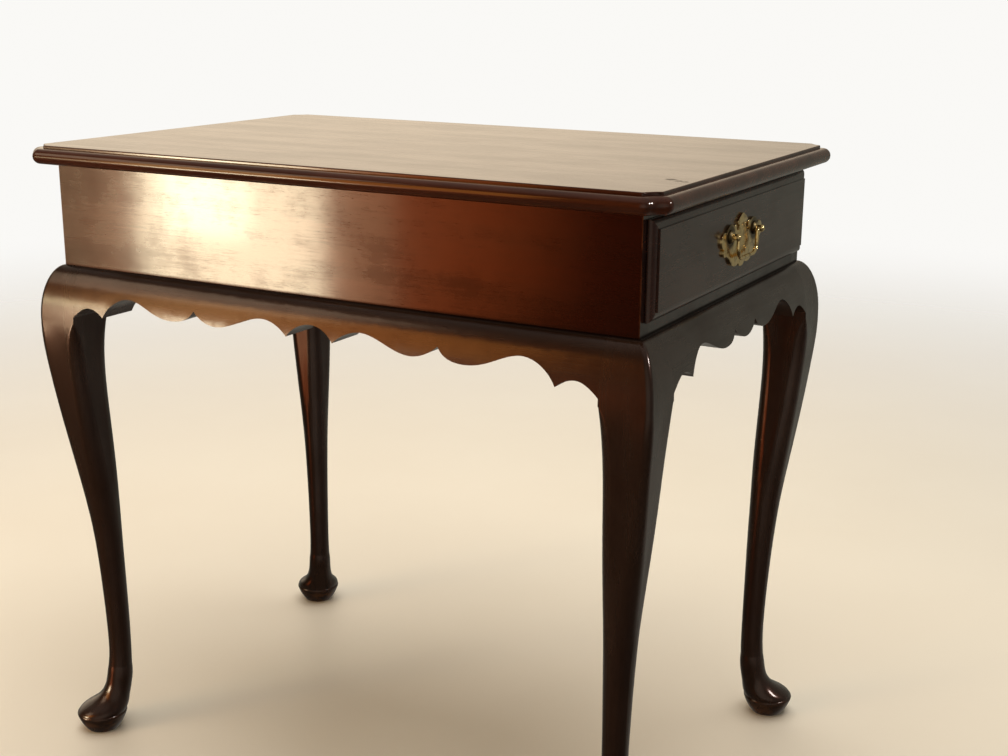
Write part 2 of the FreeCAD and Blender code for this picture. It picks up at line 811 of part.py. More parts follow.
def backplate():
    """Lobed plate with a finial and a pendant, drawn about the line between its posts."""
    half = [
        ((0.0, 18.6), (7.4, 15.4), (13.4, 10.8)),
        ((13.4, 10.8), (11.4, 8.9), (8.8, 8.6)),
        ((8.8, 8.6), (12.0, 3.4), (16.0, 7.6)),
        ((16.0, 7.6), (18.4, 9.7), (20.8, 7.4)),
        ((20.8, 7.4), (31.4, 10.8), (42.0, 4.2)),
        ((42.0, 4.2), (54.0, -2.8), (46.6, -10.2)),
        ((46.6, -10.2), (48.4, -13.6), (42.4, -17.2)),
        ((42.4, -17.2), (35.6, -19.4), (30.4, -23.8)),
        ((30.4, -23.8), (18.6, -30.0), (8.0, -28.4)),
        ((8.0, -28.4), (5.2, -31.2), (0.0, -32.0)),
    ]
    outline = [arc(*points) for points in half]
    outline += [arc(*[(-u, v) for u, v in points]) for points in half]
    outline += post_holes(0.0, 0.0, size("post_radius") + size("fit"))
    body = new_body("pull_backplate")
    new_pad(body, new_sketch(body, "YZ_Plane", outline), "dims.plate_thick")
    place(body, FACE, "0", "dims.pull_height")
    return body


def post(side):
    """Knobbed post on a swelling boss, turned about X, with a cross bore for the bail."""
    radius, boss, rim = size("post_radius"), size("boss_radius"), size("boss_rim")
    boss_height = size("boss_height")
    neck, knob = size("neck_radius"), size("knob_radius")
    knob_start, knob_middle, knob_end = size("knob_start"), size("knob_middle"), size("knob_end")
    through = ("plate_thick", "face_rise", "lip_thick", "front_board", "post_tail")
    tail = -sum(size(layer) for layer in through)
    # the knob's face is part of a ball with its centre on the axis
    centre = (knob_end ** 2 - knob_middle ** 2 - knob ** 2) / (2 * (knob_end - knob_middle))
    half_angle = math.atan2(knob, knob_middle - centre) / 2
    ball = knob_end - centre
    crown = (centre + ball * math.cos(half_angle), ball * math.sin(half_angle))
    # the boss swells a little beyond the straight slope from its rim to the neck
    slope = math.atan2(boss - neck, boss_height - rim)
    swell = (
        (rim + boss_height) / 2 + size("boss_swell") * math.sin(slope),
        (boss + neck) / 2 + size("boss_swell") * math.cos(slope),
    )
    profile = [
        line((tail, 0), (tail, radius)),
        line((tail, radius), (0, radius)),
        line((0, radius), (0, boss)),
        line((0, boss), (rim, boss)),
        arc((rim, boss), swell, (boss_height, neck)),
        line((boss_height, neck), (knob_start, neck)),
        line((knob_start, neck), (knob_middle, knob)),
        arc((knob_middle, knob), crown, (knob_end, 0)),
        line((knob_end, 0), (tail, 0)),
    ]
    body = new_body(f"pull_post_{side}")
    sketch = new_sketch(body, "XY_Plane", profile)
    turned_post = body.newObject("PartDesign::Revolution", "turned")
    turned_post.Profile = sketch
    turned_post.ReferenceAxis = (sketch, ["H_Axis"])
    turned_post.Angle = 360.0
    doc.recompute()
    bore = Part.Circle(Vector(size("pin_stand"), 0, 0), Vector(0, 0, 1), size("pin_radius") + size("fit"))
    drill = new_sketch(body, "XZ_Plane", [bore], "-dims.neck_radius - dims.cut_spare")
    new_pocket(body, drill, "2 * (dims.neck_radius + dims.cut_spare)", backwards=True)
    sign = "-" if side == "near" else ""
    place(body, PLATE_FACE, f"{sign}dims.post_spacing / 2", "dims.pull_height")
    return body


def post_nuts():
    """Square nuts on the posts, inside the drawer."""
    side, thick = size("nut_side"), size("nut_thick")
    inside = size("case_length") / 2 + size("lip_gap") - size("front_board")
    nuts = []
    for sign in (-1, 1):
        spot = Vector(inside - thick, sign * size("post_spacing") / 2, size("pull_height"))
        block = Part.makeBox(thick, side, side, spot - Vector(0, side / 2, side / 2))
        hole = Part.makeCylinder(size("post_radius") + size("fit"), thick, spot, Vector(1, 0, 0))
        nuts.append(block.cut(hole))
    return group("pull_nuts", nuts)


def bail():
    """Bent rod that hangs from the posts, drawn about its pivot line."""
    half, drop, corner = size("bail_half_width"), size("bail_drop"), size("bail_corner")
    shoulder, rod, pin_end = size("bail_shoulder"), size("bail_radius"), size("pin_end")
    start = half + shoulder
    diagonal = math.sqrt(0.5)
    route = []
    for sign in (-1, 1):
        turn_in = (sign * (half + shoulder * (1 - diagonal)), -shoulder * (1 - diagonal))
        round_middle = (sign * (half - corner * (1 - diagonal)), -(drop - corner * (1 - diagonal)))
        side = [
            arc((sign * start, 0), turn_in, (sign * half, -shoulder)),
            line((sign * half, -shoulder), (sign * half, -(drop - corner))),
            arc((sign * half, -(drop - corner)), round_middle, (sign * (half - corner), -drop)),
        ]
        route += side
    route.append(line((-(half - corner), -drop), (half - corner, -drop)))
    body = new_body("pull_bail")
    spine = new_sketch(body, "YZ_Plane", route)
    ring = [Part.Circle(Vector(0, 0, 0), Vector(0, 0, 1), rod)]
    profile = new_sketch(body, "XZ_Plane", ring, f"{start}")
    pipe = body.newObject("PartDesign::AdditivePipe", "rod")
    pipe.Profile = profile
    pipe.Spine = spine
    doc.recompute()
    pin = [Part.Circle(Vector(0, 0, 0), Vector(0, 0, 1), size("pin_radius"))]
    for backwards, along in ((False, start), (True, -start)):
        new_pad(body, new_sketch(body, "XZ_Plane", pin, f"{along}"), f"{pin_end - start}", backwards)
    place(body, f"{PLATE_FACE} + dims.pin_stand", "0", "dims.pull_height")
    return body


parts += [backplate(), post("near"), post("far"), post_nuts(), bail()]

# Everything is checked before anything is written.
doc.recompute()
for item in doc.Objects:
    if "Invalid" in item.State or "Error" in item.State:
        raise RuntimeError(f"{item.Label} did not build: {item.State}")
for piece in parts:
    if piece.Shape.isNull() or not piece.Shape.isValid() or not piece.Shape.Solids:
        raise RuntimeError(f"{piece.Label} has no sound solid")
os.makedirs("parts", exist_ok=True)
for piece in parts:
    piece.Shape.exportStep(f"parts/{piece.Label}.step")
    bounds = piece.Shape.BoundBox
    print(f"{piece.Label:26s} solids {len(piece.Shape.Solids)} volume {piece.Shape.Volume / 1000:9.2f} cm3 "
          f"x {bounds.XMin:.1f}..{bounds.XMax:.1f} y {bounds.YMin:.1f}..{bounds.YMax:.1f} "
          f"z {bounds.ZMin:.1f}..{bounds.ZMax:.1f}")
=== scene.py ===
import bmesh
import bpy
import math
from mathutils import Matrix, Vector


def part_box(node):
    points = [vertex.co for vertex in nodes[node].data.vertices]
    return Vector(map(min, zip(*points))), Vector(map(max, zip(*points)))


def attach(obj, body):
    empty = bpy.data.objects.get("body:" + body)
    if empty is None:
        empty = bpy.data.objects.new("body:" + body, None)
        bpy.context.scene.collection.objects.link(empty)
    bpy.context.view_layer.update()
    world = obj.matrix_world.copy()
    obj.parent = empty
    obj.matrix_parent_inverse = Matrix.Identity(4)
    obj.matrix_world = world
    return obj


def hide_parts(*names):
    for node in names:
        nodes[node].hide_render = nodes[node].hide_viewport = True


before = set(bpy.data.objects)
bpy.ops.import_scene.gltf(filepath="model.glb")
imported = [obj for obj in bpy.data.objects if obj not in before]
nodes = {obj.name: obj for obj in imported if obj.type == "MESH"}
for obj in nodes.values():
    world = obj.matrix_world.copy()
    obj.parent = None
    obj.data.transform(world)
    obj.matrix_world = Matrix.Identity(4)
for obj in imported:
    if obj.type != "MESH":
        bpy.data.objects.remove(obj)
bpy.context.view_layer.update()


# Cabriole legs, each sawn from one thick length of mahogany and shaved round by hand, grain
# upright. They are stained a deep red-brown and rubbed to a soft polish, which is scuffed
# thin round the pad feet.
def add(tree, kind, into=None, **settings):
    """New node with its settings, and its inputs set to values or joined to other nodes."""
    made = tree.nodes.new(kind)
    for name, value in settings.items():
        setattr(made, name, value)
    for name, value in (into or {}).items():
        if isinstance(value, bpy.types.NodeSocket):
            tree.links.new(value, made.inputs[name])
        else:
            made.inputs[name].default_value = value
    return made


def reckon(tree, operation, *terms):
    """Result of one sum on numbers."""
    return add(tree, "ShaderNodeMath", dict(enumerate(terms)), operation=operation).outputs[0]


def vector_of(tree, operation, *terms):
    """Result of one sum on vectors."""
    into = dict(enumerate(terms))
    return add(tree, "ShaderNodeVectorMath", into, operation=operation).outputs["Vector"]


def height_of(tree, place):
    """Upward part of a place or a direction."""
    return add(tree, "ShaderNodeSeparateXYZ", {0: place}).outputs["Z"]


def between(tree, value, low, high, at_low=0.0, at_high=1.0):
    """Value carried smoothly from one range to another."""
    into = {"Value": value, "From Min": low, "From Max": high, "To Min": at_low, "To Max": at_high}
    return add(tree, "ShaderNodeMapRange", into, interpolation_type="SMOOTHSTEP").outputs["Result"]


def mixed(tree, share, first, second):
    """First colour with a share of the second."""
    return add(tree, "ShaderNodeMix", {0: share, 6: first, 7: second}, data_type="RGBA").outputs[2]


def cloud(tree, place, waves, detail, roughness=0.5):
    """Soft noise from 0 to 1, with so many waves to the metre along each axis."""
    spread = vector_of(tree, "MULTIPLY", place, waves)
    into = {"Vector": spread, "Scale": 1.0, "Detail": detail, "Roughness": roughness}
    return add(tree, "ShaderNodeTexNoise", into).outputs[0]


def strayed(tree, place, waves, detail, reach):
    """Place shifted by soft noise, within a reach along each axis."""
    spread = vector_of(tree, "MULTIPLY", place, waves)
    into = {"Vector": spread, "Scale": 1.0, "Detail": detail}
    stray = add(tree, "ShaderNodeTexNoise", into).outputs["Color"]
    centred = vector_of(tree, "SUBTRACT", stray, (0.5, 0.5, 0.5))
    return vector_of(tree, "MULTIPLY_ADD", centred, reach, place)


def new_group(name, inputs, outputs):
    """Empty shader group with named sockets, and the sockets inside it."""
    group = bpy.data.node_groups.new(name, "ShaderNodeTree")
    for way, sockets in (("INPUT", inputs), ("OUTPUT", outputs)):
        for label, kind in sockets.items():
            group.interface.new_socket(label, in_out=way, socket_type=f"NodeSocket{kind}")
    given = group.nodes.new("NodeGroupInput").outputs
    return group, given, group.nodes.new("NodeGroupOutput").inputs


RIBBON_SHARE, MOTTLE_SHARE, FIBRE_SHARE, TONE_SHIFT = 0.45, 0.35, 0.4, -0.1
FIBRE_HEIGHT, PIT_LIGHTNESS = 0.3, 0.3


def wood_figure_group():
    """Long ribbons, fine fibres, cloudy mottle and short dark pores, with X along the grain."""
    group, given, result = new_group(
        "wood_figure",
        {"Place": "Vector", "Dark": "Color", "Light": "Color", "Pore": "Float"},
        {"Colour": "Color", "Tone": "Float", "Height": "Float"},
    )
    grain = strayed(group, given["Place"], (3.0, 8.0, 8.0), detail=2.0, reach=(0.0, 0.02, 0.02))

    def streaks(along, across, detail):
        return cloud(group, grain, (along, across, across), detail)

    ribbon = between(group, streaks(along=1.6, across=42.0, detail=3.0), 0.25, 0.75)
    mottle = between(group, streaks(along=9.0, across=20.0, detail=3.0), 0.3, 0.7)
    fibre = streaks(along=10.0, across=460.0, detail=3.0)
    pore = between(group, streaks(along=90.0, across=1900.0, detail=1.0), 0.56, 0.68)
    tone = reckon(group, "MULTIPLY_ADD", ribbon, RIBBON_SHARE, TONE_SHIFT)
    tone = reckon(group, "MULTIPLY_ADD", mottle, MOTTLE_SHARE, tone)
    tone = reckon(group, "MULTIPLY_ADD", fibre, FIBRE_SHARE, tone)
    clear = mixed(group, tone, given["Dark"], given["Light"])
    pit = mixed(group, PIT_LIGHTNESS, (0.0, 0.0, 0.0, 1.0), given["Dark"])
    pitted = reckon(group, "MULTIPLY", pore, given["Pore"])
    sunk = reckon(group, "MULTIPLY", pitted, -1.0)
    group.links.new(mixed(group, pitted, clear, pit), result["Colour"])
    group.links.new(tone, result["Tone"])
    group.links.new(reckon(group, "MULTIPLY_ADD", fibre, FIBRE_HEIGHT, sunk), result["Height"])
    return group


def joint_darkening_group():
    """Mask of an uneven band along a level joint at a given height, for old wax and painted shade there.
    """
    group, given, result = new_group(
        "joint_darkening", {"Place": "Vector", "Level": "Float", "Width": "Float"}, {"Mask": "Float"}
    )
    height = height_of(group, given["Place"])
    away = reckon(group, "ABSOLUTE", reckon(group, "SUBTRACT", height, given["Level"]))
    uneven = cloud(group, given["Place"], (30.0, 30.0, 8.0), detail=3.0)
    reach = reckon(group, "MULTIPLY", given["Width"], reckon(group, "ADD", uneven, 0.5))
    near = reckon(group, "SUBTRACT", 1.0, reckon(group, "DIVIDE", away, reach))
    group.links.new(between(group, near, 0.0, 1.0), result["Mask"])
    return group


def cover(tree, shader, socket, share, value):
    """Lays a colour or a number over what already feeds one of the shader's sockets."""
    target = shader.inputs[socket]
    under = target.links[0].from_socket if target.is_linked else target.default_value
    if target.type == "RGBA":
        laid = mixed(tree, share, under, value)
    else:
        laid = add(tree, "ShaderNodeMix", {0: share, 2: under, 3: value}).outputs[0]
    tree.links.new(laid, target)


def new_material(name):
    """Fresh material with its tree and its shader, and the place on the piece."""
    material = bpy.data.materials.new(name)
    material.use_nodes = True
    tree = material.node_tree
    place = add(tree, "ShaderNodeTexCoord").outputs["Object"]
    return material, tree, tree.nodes["Principled BSDF"], place


wood_figure = wood_figure_group()
joint_darkening = joint_darkening_group()
ALONG_X, ALONG_Y, ALONG_Z = (0, 0, 0), (0, 0, -math.pi / 2), (0, math.pi / 2, 0)


def figured(tree, shader, place, grain, dark, light, pore):
    """Colours a shader with the wood's figure, turned to run along one axis, and hands it on."""
    board = add(tree, "ShaderNodeMapping", {"Vector": place, "Rotation": grain}).outputs["Vector"]
    into = {"Place": board, "Dark": dark, "Light": light, "Pore": pore}
    figure = add(tree, "ShaderNodeGroup", into, node_tree=wood_figure).outputs
    tree.links.new(figure["Colour"], shader.inputs["Base Color"])
    return figure


def raised(tree, shader, height, depth, strength=1.0):
    """Gives a shader a fine relief."""
    bump = add(tree, "ShaderNodeBump", {"Height": height, "Strength": strength, "Distance": depth})
    tree.links.new(bump.outputs["Normal"], shader.inputs["Normal"])


POLISHED_GRAIN_DEPTH, PLANED_OVER_GRAIN = 0.00002, 24.0
DARK_FIGURE_ROUGHNESS, LIGHT_FIGURE_ROUGHNESS = 0.34, 0.22
POLISH_BY_TONE, POLISH_BY_HEIGHT = 0.5, 0.6
RED_SHEEN = (1.0, 0.22, 0.045, 1.0)


def polished_mahogany(name, grain, dark, light, glow, thinnest=0.78, haze=0.11):
    """Stained mahogany with a red glow, under a clear hazy polish that is rubbed thin in patches."""
    material, tree, shader, place = new_material(name)
    figure = figured(tree, shader, place, grain, dark, light, pore=0.3)
    dullness = between(
        tree, figure["Tone"], 0.0, 1.0, at_low=DARK_FIGURE_ROUGHNESS, at_high=LIGHT_FIGURE_ROUGHNESS
    )
    tree.links.new(dullness, shader.inputs["Roughness"])
    planed = cloud(tree, place, (11.0,) * 3, detail=1.0)
    relief = reckon(tree, "MULTIPLY_ADD", planed, PLANED_OVER_GRAIN, figure["Height"])
    raised(tree, shader, relief, POLISHED_GRAIN_DEPTH)
    rubbed = cloud(tree, place, (26.0,) * 3, detail=5.0, roughness=0.6)
    rubbed = reckon(tree, "MULTIPLY_ADD", figure["Tone"], POLISH_BY_TONE, rubbed)
    rubbed = reckon(tree, "MULTIPLY_ADD", figure["Height"], POLISH_BY_HEIGHT, rubbed)
    polish = between(tree, rubbed, 0.5, 1.0, at_low=thinnest, at_high=1.0)
    tree.links.new(polish, shader.inputs["Coat Weight"])
    shader.inputs["Coat Roughness"].default_value = haze
    shader.inputs["Specular IOR Level"].default_value = glow
    shader.inputs["Specular Tint"].default_value = RED_SHEEN
    return material, tree, shader, place


# The dark joint colour is partly old wax and partly painted shade of the joint.
JOINT_WAX_AND_SHADE, WAXED_POLISH = (0.004, 0.002, 0.0015, 1.0), 0.1


def darken_joint(tree, shader, place, level, width):
    """Darkens a joint with old wax settled there and with painted shade in and beside it."""
    into = {"Place": place, "Level": level, "Width": width}
    mask = add(tree, "ShaderNodeGroup", into, node_tree=joint_darkening).outputs["Mask"]
    cover(tree, shader, "Base Color", mask, JOINT_WAX_AND_SHADE)
    cover(tree, shader, "Coat Weight", mask, WAXED_POLISH)


def dress(material, *names):
    """Gives CAD nodes a material."""
    for name in names:
        nodes[name].material_slots[0].material = material


CORNERS = ("drawer_far", "blind_far", "blind_near", "drawer_near")
STAND_DARK, STAND_LIGHT = (0.009, 0.0046, 0.0027, 1.0), (0.028, 0.014, 0.0082, 1.0)
STAND_POLISH = {"glow": 0.25, "thinnest": 0.7, "haze": 0.18}
STAND_JOINT_DARK_WIDTH = 0.0016
SCUFFED, SCUFFED_POLISH = (0.075, 0.034, 0.016, 1.0), 0.2
SCUFFED_BELOW, UNSCUFFED_ABOVE = 0.004, 0.026
case_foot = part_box("side_panel_near")[0].z
leg_wood, tree, shader, place = polished_mahogany(
    "mahogany_leg", ALONG_Z, STAND_DARK, STAND_LIGHT, **STAND_POLISH
)
low_down = between(tree, height_of(tree, place), SCUFFED_BELOW, UNSCUFFED_ABOVE, at_low=1.0, at_high=0.0)
knocked = between(tree, cloud(tree, place, (60.0, 60.0, 140.0), detail=4.0), 0.42, 0.6)
scuffs = reckon(tree, "MULTIPLY", low_down, knocked)
cover(tree, shader, "Base Color", scuffs, SCUFFED)
cover(tree, shader, "Coat Weight", scuffs, SCUFFED_POLISH)
darken_joint(tree, shader, place, case_foot, STAND_JOINT_DARK_WIDTH)
dress(leg_wood, *[f"leg_{corner}" for corner in CORNERS])

# Aprons, thick mahogany boards worked to a bulge on the face and sawn to scallops below.
# They are jointed between the knees, with the grain along each board.
for grain, names in (
    (ALONG_X, ("apron_near", "apron_far")),
    (ALONG_Y, ("apron_drawer_end", "apron_blind_end")),
):
    wood, tree, shader, place = polished_mahogany(
        f"mahogany_{names[0]}", grain, STAND_DARK, STAND_LIGHT, **STAND_POLISH
    )
    darken_joint(tree, shader, place, case_foot, STAND_JOINT_DARK_WIDTH)
    dress(wood, *names)

# Corner blocks, runners and kickers, sawn from plain secondary wood and left unpolished.
# Glue holds them, and screws go through the blocks and the kickers.
BARE_GRAIN_DEPTH, BARE_GRAIN_STRENGTH, DUSTY = 0.0003, 0.4, 0.1


def plain_wood(name, grain, dark, light, roughness):
    """Bare wood, planed and dusty with age."""
    material, tree, shader, place = new_material(name)
    figure = figured(tree, shader, place, grain, dark, light, pore=0.35)
    dullness = between(tree, figure["Tone"], 0.0, 1.0, at_low=roughness + DUSTY, at_high=roughness)
    tree.links.new(dullness, shader.inputs["Roughness"])
    raised(tree, shader, figure["Height"], BARE_GRAIN_DEPTH, BARE_GRAIN_STRENGTH)
    return material


INNER_DARK, INNER_LIGHT = (0.14, 0.075, 0.035, 1.0), (0.32, 0.2, 0.105, 1.0)
strip_wood = plain_wood("inner_wood", ALONG_X, INNER_DARK, INNER_LIGHT, roughness=0.6)
dress(strip_wood, "drawer_runner_near", "drawer_runner_far", "kicker_near", "kicker_far")
dress(strip_wood, *[f"corner_block_{corner}" for corner in CORNERS])

# Wood screws, turned steel with a slotted head and a dull dark skin. They are driven through
# the corner blocks into the legs, and through the kickers into the top.
PATCH_DEPTH, TARNISH_DULLS = 0.0006, 0.2


def metal(name, colour, stain, roughness, patches_per_metre):
    """Cast or turned metal with patchy tarnish."""
    material, tree, shader, place = new_material(name)
    patches = cloud(tree, place, (patches_per_metre,) * 3, detail=5.0, roughness=0.6)
    tarnish = between(tree, patches, 0.5, 0.72)
    tree.links.new(mixed(tree, tarnish, colour, stain), shader.inputs["Base Color"])
    dulled = between(tree, tarnish, 0.0, 1.0, at_low=roughness, at_high=roughness + TARNISH_DULLS)
    tree.links.new(dulled, shader.inputs["Roughness"])
    raised(tree, shader, patches, PATCH_DEPTH)
    shader.inputs["Metallic"].default_value = 1.0
    return material, tree, shader, place


STEEL, RUST = (0.32, 0.3, 0.27, 1.0), (0.1, 0.065, 0.045, 1.0)
screw_steel = metal("screw_steel", STEEL, RUST, roughness=0.38, patches_per_metre=400.0)[0]
dress(screw_steel, "block_screws", "top_screws")


# Case, three mahogany boards and two rails glued into a box that stands on the aprons. The
# long sides carry the grain lengthwise, and their polish is the clearest of the table but
# rubbed thin in patches. The corners of the box are worn.
def rubbed_edges_group():
    """Broken wear along the edges of a squared piece, given the middle and half size of its box."""
    group, given, result = new_group(
        "rubbed_edges",
        {"Place": "Vector", "Middle": "Vector", "Half": "Vector", "Width": "Float"},
        {"Mask": "Float"},
    )
    from_middle = vector_of(group, "SUBTRACT", given["Place"], given["Middle"])
    inwards = vector_of(group, "SUBTRACT", given["Half"], vector_of(group, "ABSOLUTE", from_middle))
    x, y, z = add(group, "ShaderNodeSeparateXYZ", {0: inwards}).outputs
    lesser, greater = reckon(group, "MINIMUM", x, y), reckon(group, "MAXIMUM", x, y)
    to_edge = reckon(group, "MAXIMUM", lesser, reckon(group, "MINIMUM", greater, z))
    near = reckon(group, "SUBTRACT", 1.0, reckon(group, "DIVIDE", to_edge, given["Width"]))
    patchy = between(group, cloud(group, given["Place"], (35.0,) * 3, detail=4.0), 0.38, 0.62)
    group.links.new(reckon(group, "MULTIPLY", between(group, near, 0.0, 1.0), patchy), result["Mask"])
    return group


rubbed_edges = rubbed_edges_group()
WORN_POLISH = 0.5


def wear_edges(tree, shader, place, box, width, colour):
    """Rubs the polish and the stain from the edges of a box."""
    low, high = box
    into = {"Place": place, "Middle": (low + high) / 2, "Half": (high - low) / 2, "Width": width}
    mask = add(tree, "ShaderNodeGroup", into, node_tree=rubbed_edges).outputs["Mask"]
    cover(tree, shader, "Base Color", mask, colour)
    cover(tree, shader, "Coat Weight", mask, WORN_POLISH)


CASE_DARK, CASE_LIGHT = (0.004, 0.0005, 0.0001, 1.0), (0.024, 0.0028, 0.0005, 1.0)
CASE_POLISH = {"glow": 0.14, "thinnest": 0.52, "haze": 0.088}
CASE_WORN = (0.075, 0.026, 0.01, 1.0)
# The case's joint band is wider, so it also paints shade on the case's softened lower edge.
CASE_WEAR_WIDTH, CASE_JOINT_DARK_WIDTH = 0.0016, 0.003
case_box = (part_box("side_panel_near")[0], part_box("side_panel_far")[1])
for grain, names in (
    (ALONG_X, ("side_panel_near", "side_panel_far")),
    (ALONG_Y, ("end_panel", "front_top_rail", "front_lower_rail")),
):
    for name in names:
        wood, tree, shader, place = polished_mahogany(
            f"mahogany_{name}", grain, CASE_DARK, CASE_LIGHT, **CASE_POLISH
        )
        wear_edges(tree, shader, place, case_box, CASE_WEAR_WIDTH, CASE_WORN)
        darken_joint(tree, shader, place, case_foot, CASE_JOINT_DARK_WIDTH)
        dress(wood, name)


# Top, one mahogany board with a raised field, a small step and a half-round edge, notched at
# the corners. Screws hold it from below. It has a few chips by the near drawer-end corner.
def distance(tree, place, point):
    """How far a place is from a point."""
    into = {0: place, 1: point}
    return add(tree, "ShaderNodeVectorMath", into, operation="DISTANCE").outputs["Value"]


TOP_DARK, TOP_LIGHT = (0.020, 0.005, 0.0018, 1.0), (0.075, 0.019, 0.0075, 1.0)
TOP_WEAR_WIDTH = 0.004
CHIPPED, CHIP_RAGGEDNESS = (0.02, 0.012, 0.008, 1.0), 0.006
CHIPS = (
    {"x": 0.3195, "y": -0.1362, "reach": 0.0065},
    {"x": 0.3290, "y": -0.1425, "reach": 0.0045},
    {"x": 0.3360, "y": -0.1449, "reach": 0.0040},
    {"x": 0.3440, "y": -0.2150, "reach": 0.0040},
)
top_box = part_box("table_top")
top_wood, tree, shader, place = polished_mahogany(
    "mahogany_top", ALONG_X, TOP_DARK, TOP_LIGHT, glow=0.12, thinnest=0.93
)
wear_edges(tree, shader, place, top_box, TOP_WEAR_WIDTH, CASE_WORN)
ragged = strayed(tree, place, (420.0,) * 3, detail=3.0, reach=(CHIP_RAGGEDNESS,) * 3)
for chip in CHIPS:
    away = distance(tree, ragged, (chip["x"], chip["y"], top_box[1].z))
    chipped = between(tree, away, 0.5 * chip["reach"], chip["reach"], at_low=1.0, at_high=0.0)
    cover(tree, shader, "Base Color", chipped, CHIPPED)
    cover(tree, shader, "Coat Weight", chipped, 0.0)
dress(top_wood, "table_top")

# Drawer, with a mahogany front, grain across, whose thumbnail edge overlaps the opening. The
# front is lapped and dovetailed to sides of paler plain wood, with a back and a thin bottom
# in grooves.
FRONT_DARK, FRONT_LIGHT = (0.012, 0.0032, 0.0014, 1.0), (0.038, 0.0095, 0.0038, 1.0)
FRONT_WEAR_WIDTH = 0.001
front_wood, tree, shader, place = polished_mahogany(
    "mahogany_drawer", ALONG_Y, FRONT_DARK, FRONT_LIGHT, glow=0.2
)
wear_edges(tree, shader, place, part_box("drawer_front"), FRONT_WEAR_WIDTH, CASE_WORN)
dress(front_wood, "drawer_front")
BOX_DARK, BOX_LIGHT = (0.22, 0.125, 0.055, 1.0), (0.46, 0.3, 0.16, 1.0)
for name, grain, names in (
    ("drawer_side_wood", ALONG_X, ("drawer_side_near", "drawer_side_far")),
    ("drawer_cross_wood", ALONG_Y, ("drawer_back", "drawer_bottom")),
):
    dress(plain_wood(name, grain, BOX_DARK, BOX_LIGHT, roughness=0.5), *names)

# Pull, cast brass polished long ago and gone brown in patches, and darker round the post bases
# with grime and painted shadow: a lobed plate with filed edges, two turned posts held by nuts
# inside the drawer, and a bail that swings on them.
BRASS, TARNISHED_BRASS = (0.95, 0.71, 0.34, 1.0), (0.16, 0.1, 0.04, 1.0)
POST_GRIME_AND_SHADE, GRIMY_ROUGHNESS, POST_DARKENING_SHARE = (0.035, 0.024, 0.012, 1.0), 0.4, 0.9
POST_DARKENING_DEPTH, POST_DARKENING_REACH = 0.0042, 0.015
brass, tree, shader, place = metal("brass", BRASS, TARNISHED_BRASS, roughness=0.1, patches_per_metre=130.0)
plate_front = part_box("pull_backplate")[1].x
post_middles = [sum(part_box(f"pull_post_{side}"), Vector()).yz / 2 for side in ("near", "far")]
# Round the post bases the plate is darkened: some grime, and painted shadow and dark reflection of the
# posts and the bail.
outwards = add(tree, "ShaderNodeSeparateXYZ", {0: place}).outputs["X"]
post_darkening_start, post_darkening_end = plate_front + 0.5 * POST_DARKENING_DEPTH, plate_front + POST_DARKENING_DEPTH
sunk = between(tree, outwards, post_darkening_start, post_darkening_end, at_low=1.0, at_high=0.0)
flat = vector_of(tree, "MULTIPLY", place, (0.0, 1.0, 1.0))
for post in post_middles:
    away = distance(tree, flat, (0.0, post.x, post.y))
    round_post = between(tree, away, 0.6 * POST_DARKENING_REACH, POST_DARKENING_REACH, at_low=POST_DARKENING_SHARE, at_high=0.0)
    post_darkening = reckon(tree, "MULTIPLY", sunk, round_post)
    cover(tree, shader, "Base Color", post_darkening, POST_GRIME_AND_SHADE)
    cover(tree, shader, "Roughness", post_darkening, GRIMY_ROUGHNESS)
dress(brass, "pull_post_near", "pull_post_far", "pull_nuts", "pull_bail")

FILED_WIDTH, POST_CLEARANCE, SAME_PLACE = 0.0009, 0.005, 0.00001
FLAT_ANGLE, SQUARE_ANGLE, SMOOTH_ANGLE = math.radians(1), math.radians(45), math.radians(50)
plate = bmesh.new()
plate.from_mesh(nodes["pull_backplate"].data)
bmesh.ops.remove_doubles(plate, verts=plate.verts, dist=SAME_PLACE)
bmesh.ops.dissolve_limit(plate, angle_limit=FLAT_ANGLE, verts=plate.verts, edges=plate.edges)


def on_filed_edge(edge):
    """Whether an edge of the plate runs round its front face, and not round a post."""
    middle = (edge.verts[0].co + edge.verts[1].co) / 2
    level = all(abs(end.co.x - plate_front) < SAME_PLACE for end in edge.verts)
    clear = min((middle.yz - post).length for post in post_middles) > POST_CLEARANCE
    return level and clear and edge.calc_face_angle() > SQUARE_ANGLE


bmesh.ops.bevel(
    plate, geom=[edge for edge in plate.edges if on_filed_edge(edge)], offset=FILED_WIDTH,
    offset_type="OFFSET", segments=3, profile=0.5, affect="EDGES", clamp_overlap=True, material=-1,
)
for face in plate.faces:
    face.smooth = True
plate_mesh = bpy.data.meshes.new("filed_backplate")
plate.to_mesh(plate_mesh)
plate.free()
plate_mesh.set_sharp_from_angle(angle=SMOOTH_ANGLE)
plate_mesh.materials.append(brass)
filed_plate = bpy.data.objects.new("filed_backplate", plate_mesh)
bpy.context.scene.collection.objects.link(filed_plate)
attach(filed_plate, "drawer")
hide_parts("pull_backplate")

